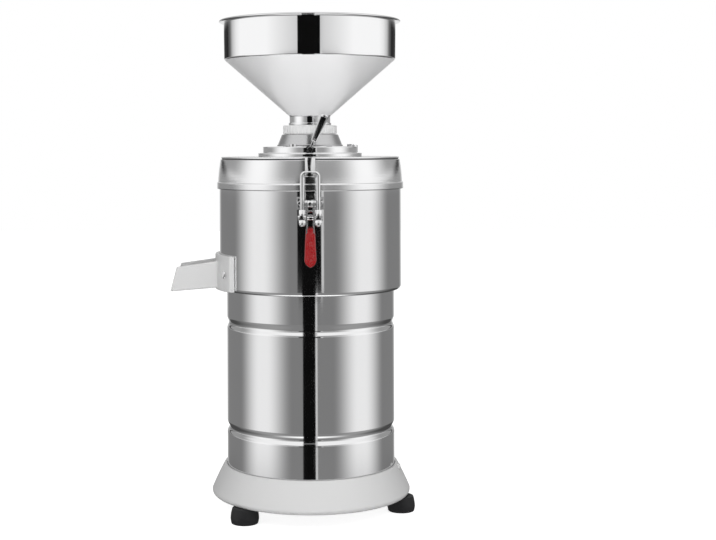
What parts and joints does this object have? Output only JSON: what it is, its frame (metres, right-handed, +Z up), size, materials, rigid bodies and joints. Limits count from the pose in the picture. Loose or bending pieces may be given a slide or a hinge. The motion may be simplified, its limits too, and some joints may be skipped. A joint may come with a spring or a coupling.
{
  "type": "peanut butter machine",
  "caption": "Standing nut grinder: polished funnel hopper over a latched lid, round steel body, side pouring spout and a flared base on rubber feet.",
  "frame": {"origin": "on the machine's upright axis, level with the ground under its feet", "axes": "+Z up; the front, with a toggle latch, faces -Y; the spout points along -X"},
  "size_m": [0.324, 0.2938, 0.6537],
  "materials": {
    "polished_steel": "mirror-polished stainless sheet",
    "satin_steel": "brushed stainless sheet",
    "cast_alloy": "satin cast alloy",
    "turned_alloy": "turned, lightly polished",
    "bright_zinc": "bright plated steel",
    "hard_iron": "ground, hardened",
    "motor_steel": "painted",
    "core_iron": "laminated",
    "copper": "enamelled wire",
    "black_rubber": "matt moulded rubber",
    "seal_rubber": "smooth silicone rubber",
    "red_vinyl": "dipped vinyl",
    "black_plastic": "moulded",
    "rocker_plastic": "moulded, gloss",
    "white_plastic": "moulded",
    "dark_steel": "blackened steel"
  },
  "bodies": {
    "frame": {"base_ring": "cast_alloy", "foot_left": "black_rubber", "foot_right": "black_rubber", "foot_rear": "black_rubber", "foot_screws": "bright_zinc", "bottom_plate": "satin_steel", "bottom_plate_screws": "bright_zinc", "motor_barrel": "polished_steel", "outer_barrel": "polished_steel", "chamber_pot": "cast_alloy", "pot_bolts": "bright_zinc", "shaft_seal": "seal_rubber", "motor_upper_bell": "motor_steel", "motor_lower_bell": "motor_steel", "stator_core": "core_iron", "stator_windings": "copper", "motor_bearings": "bright_zinc", "motor_tie_bolts": "bright_zinc", "run_capacitor": "white_plastic", "capacitor_clip": "satin_steel", "lid": "satin_steel", "lid_gasket": "seal_rubber", "neck_flange": "turned_alloy", "neck_flange_screws": "bright_zinc", "lever_stud": "bright_zinc", "spout": "cast_alloy", "spout_screws": "bright_zinc", "switch_bezel": "black_plastic", "cable_gland": "black_plastic", "latch_rivets": "bright_zinc", "catch_front": "bright_zinc", "latch_base_front": "bright_zinc", "latch_pin_front": "bright_zinc", "catch_rear": "bright_zinc", "latch_base_rear": "bright_zinc", "latch_pin_rear": "bright_zinc"},
    "rotor": {"motor_shaft": "satin_steel", "motor_rotor": "core_iron", "cooling_fan": "black_plastic", "rotor_burr": "hard_iron", "feed_screw": "satin_steel", "scraper_paddle": "satin_steel"},
    "adjuster": {"adjusting_hub": "turned_alloy"},
    "burr_carrier": {"stator_sleeve": "turned_alloy", "stator_burr": "hard_iron"},
    "neck_ring": {"knurled_ring": "cast_alloy"},
    "hopper": {"hopper": "polished_steel"},
    "lever": {"lock_lever": "dark_steel", "lever_tip": "bright_zinc"},
    "rocker": {"switch_rocker": "rocker_plastic"},
    "latch_handle_front": {"latch_lever_front": "bright_zinc", "latch_grip_front": "red_vinyl"},
    "latch_bail_front": {"latch_bail_front": "bright_zinc", "latch_trunnion_front": "bright_zinc", "latch_nuts_front": "bright_zinc"},
    "latch_handle_rear": {"latch_lever_rear": "bright_zinc", "latch_grip_rear": "red_vinyl"},
    "latch_bail_rear": {"latch_bail_rear": "bright_zinc", "latch_trunnion_rear": "bright_zinc", "latch_nuts_rear": "bright_zinc"}
  },
  "joints": [
    {"name": "rotor_spin", "type": "hinge", "parent": "frame", "child": "rotor", "pos_m": [0, 0, 0.25], "axis": [0, 0, 1], "continuous": true},
    {"name": "gap_adjust", "type": "hinge", "parent": "frame", "child": "adjuster", "pos_m": [0, 0, 0.484], "axis": [0, 0, 1], "range_deg": [0, 180]},
    {"name": "burr_travel", "type": "slide", "parent": "frame", "child": "burr_carrier", "axis": [0, 0, 1], "range_m": [0, 0.00101]},
    {"name": "ring_turn", "type": "hinge", "parent": "adjuster", "child": "neck_ring", "pos_m": [0, 0, 0.506], "axis": [0, 0, 1], "range_deg": [0, 90]},
    {"name": "hopper_lift", "type": "slide", "parent": "adjuster", "child": "hopper", "axis": [0, 0, 1], "range_m": [0, 0.08]},
    {"name": "lever_swing", "type": "hinge", "parent": "frame", "child": "lever", "pos_m": [0, -0.0565, 0.4793], "axis": [0, 1, 0], "range_deg": [-50, 0]},
    {"name": "switch_rock", "type": "hinge", "parent": "frame", "child": "rocker", "pos_m": [0, 0.1115, 0.2], "axis": [1, 0, 0], "range_deg": [0, 14]},
    {"name": "latch_front_open", "type": "hinge", "parent": "frame", "child": "latch_handle_front", "pos_m": [0, -0.139, 0.412], "axis": [-1, 0, 0], "range_deg": [0, 70]},
    {"name": "latch_front_bail", "type": "hinge", "parent": "latch_handle_front", "child": "latch_bail_front", "pos_m": [0, -0.1413, 0.394], "axis": [-1, 0, 0], "range_deg": [-50, 0.5]},
    {"name": "latch_rear_open", "type": "hinge", "parent": "frame", "child": "latch_handle_rear", "pos_m": [0, 0.139, 0.412], "axis": [1, 0, 0], "range_deg": [0, 70]},
    {"name": "latch_rear_bail", "type": "hinge", "parent": "latch_handle_rear", "child": "latch_bail_rear", "pos_m": [0, 0.1413, 0.394], "axis": [1, 0, 0], "range_deg": [-50, 0.5]}
  ],
  "couplings": [
    {"joint": "burr_travel", "follows": "gap_adjust", "m_per_rad": 0.00031831},
    {"joint": "latch_front_bail", "follows": "latch_front_open", "ratio": -0.7},
    {"joint": "latch_rear_bail", "follows": "latch_rear_open", "ratio": -0.7}
  ]
}
